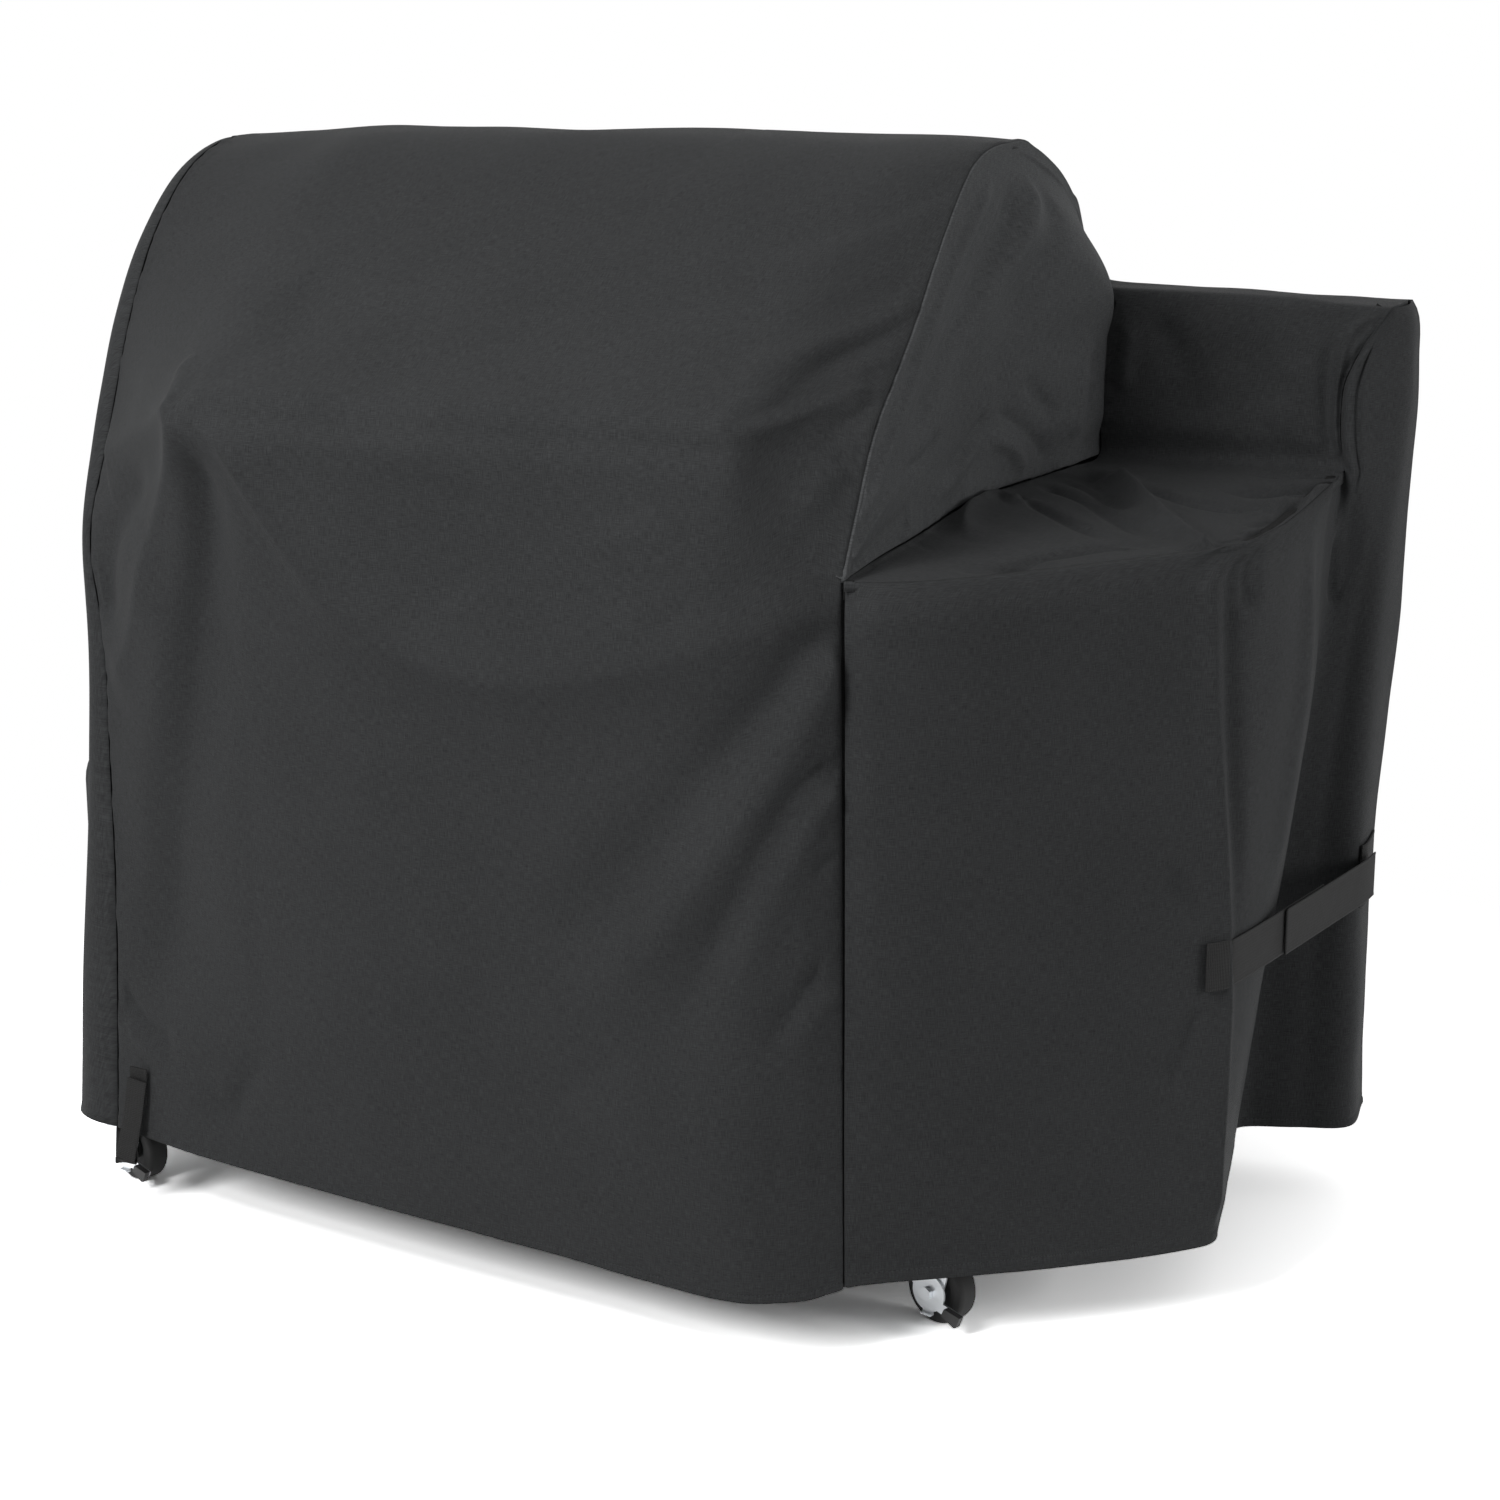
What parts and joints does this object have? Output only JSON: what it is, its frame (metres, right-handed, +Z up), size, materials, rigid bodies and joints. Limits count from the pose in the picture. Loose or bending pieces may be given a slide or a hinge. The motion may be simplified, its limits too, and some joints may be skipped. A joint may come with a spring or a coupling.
{
  "type": "grill cover",
  "caption": "Fitted cloth cover in sewn panels over a barrel-lidded grill form with a side shelf, hook-and-loop straps and braked casters.",
  "frame": {"origin": "on the floor under the middle of the whole object", "axes": "+X to the right seen from the front, front towards -Y, +Z up"},
  "size_m": [1.3752, 0.8232, 1.2036],
  "materials": {
    "cover_cloth": "woven polyester, low sheen",
    "webbing": "ribbed polyester webbing",
    "hook_tape": "hook tape, matt black",
    "caster_tyre": "moulded, satin",
    "caster_hub": "moulded, satin",
    "pedal_plastic": "moulded, satin",
    "zinc_steel": "bright zinc plated",
    "stand_steel": "black powder coat",
    "form_steel": "black enamel"
  },
  "bodies": {
    "cover": {"cinch_anchor": "webbing", "cinch_strap": "webbing", "firebox_bearer": "form_steel", "firebox_form": "form_steel", "front_left_caster_stem": "zinc_steel", "front_left_leg": "stand_steel", "front_rail": "stand_steel", "front_right_caster_stem": "zinc_steel", "front_right_leg": "stand_steel", "handle_form": "form_steel", "handle_posts": "form_steel", "hopper_back_panel": "cover_cloth", "hopper_form": "form_steel", "hopper_front_panel": "cover_cloth", "hopper_top_panel": "cover_cloth", "left_end_panel": "cover_cloth", "left_rail": "stand_steel", "leg_strap_loop": "webbing", "leg_strap_patch": "hook_tape", "lid_end_panel": "cover_cloth", "lid_form": "form_steel", "main_panel": "cover_cloth", "rear_left_caster_stem": "zinc_steel", "rear_left_leg": "stand_steel", "rear_rail": "stand_steel", "rear_right_caster_stem": "zinc_steel", "rear_right_leg": "stand_steel", "rear_strap_patch": "hook_tape", "right_rail": "stand_steel", "shelf_bracket": "form_steel", "shelf_form": "form_steel", "shelf_top_panel": "cover_cloth", "side_panel": "cover_cloth"},
    "rear_strap_end": {"rear_strap": "webbing"},
    "leg_strap_end": {"leg_strap_tail": "webbing"},
    "front_left_swivel": {"front_left_caster_fork": "zinc_steel", "front_left_caster_bolt": "zinc_steel"},
    "front_left_wheel": {"front_left_caster_tyre": "caster_tyre", "front_left_caster_hub": "caster_hub"},
    "front_left_brake": {"front_left_brake_lever": "zinc_steel", "front_left_brake_pedal": "pedal_plastic"},
    "front_right_swivel": {"front_right_caster_fork": "zinc_steel", "front_right_caster_bolt": "zinc_steel"},
    "front_right_wheel": {"front_right_caster_tyre": "caster_tyre", "front_right_caster_hub": "caster_hub"},
    "front_right_brake": {"front_right_brake_lever": "zinc_steel", "front_right_brake_pedal": "pedal_plastic"},
    "rear_left_swivel": {"rear_left_caster_fork": "zinc_steel", "rear_left_caster_bolt": "zinc_steel"},
    "rear_left_wheel": {"rear_left_caster_tyre": "caster_tyre", "rear_left_caster_hub": "caster_hub"},
    "rear_right_swivel": {"rear_right_caster_fork": "zinc_steel", "rear_right_caster_bolt": "zinc_steel"},
    "rear_right_wheel": {"rear_right_caster_tyre": "caster_tyre", "rear_right_caster_hub": "caster_hub"}
  },
  "joints": [
    {"name": "front_left_swivel", "type": "hinge", "parent": "cover", "child": "front_left_swivel", "pos_m": [-0.6549, -0.153, 0.086], "axis": [0, 0, 1], "continuous": true},
    {"name": "front_left_wheel_spin", "type": "hinge", "parent": "front_left_swivel", "child": "front_left_wheel", "pos_m": [-0.63235, -0.16121, 0.0375], "axis": [0.342, 0.9397, 0], "continuous": true},
    {"name": "front_left_brake_press", "type": "hinge", "parent": "front_left_swivel", "child": "front_left_brake", "pos_m": [-0.63235, -0.16121, 0.0375], "axis": [-0.342, -0.9397, 0], "range_deg": [0, 20]},
    {"name": "front_right_swivel", "type": "hinge", "parent": "cover", "child": "front_right_swivel", "pos_m": [0.3401, -0.153, 0.086], "axis": [0, 0, 1], "continuous": true},
    {"name": "front_right_wheel_spin", "type": "hinge", "parent": "front_right_swivel", "child": "front_right_wheel", "pos_m": [0.36265, -0.16121, 0.0375], "axis": [0.342, 0.9397, 0], "continuous": true},
    {"name": "front_right_brake_press", "type": "hinge", "parent": "front_right_swivel", "child": "front_right_brake", "pos_m": [0.36265, -0.16121, 0.0375], "axis": [-0.342, -0.9397, 0], "range_deg": [0, 20]},
    {"name": "rear_left_swivel", "type": "hinge", "parent": "cover", "child": "rear_left_swivel", "pos_m": [-0.6549, 0.25, 0.086], "axis": [0, 0, 1], "continuous": true},
    {"name": "rear_left_wheel_spin", "type": "hinge", "parent": "rear_left_swivel", "child": "rear_left_wheel", "pos_m": [-0.63235, 0.24179, 0.0375], "axis": [0.342, 0.9397, 0], "continuous": true},
    {"name": "rear_right_swivel", "type": "hinge", "parent": "cover", "child": "rear_right_swivel", "pos_m": [0.3401, 0.25, 0.086], "axis": [0, 0, 1], "continuous": true},
    {"name": "rear_right_wheel_spin", "type": "hinge", "parent": "rear_right_swivel", "child": "rear_right_wheel", "pos_m": [0.36265, 0.24179, 0.0375], "axis": [0.342, 0.9397, 0], "continuous": true},
    {"name": "rear_strap_peel", "type": "hinge", "parent": "cover", "child": "rear_strap_end", "pos_m": [0.68685, 0.346, 0.388], "axis": [0, 0, 1], "range_deg": [0, 110]},
    {"name": "leg_strap_peel", "type": "hinge", "parent": "cover", "child": "leg_strap_end", "pos_m": [-0.5829, -0.274, 0.068], "axis": [0.9822, 0, -0.1881], "range_deg": [0, 85]}
  ]
}
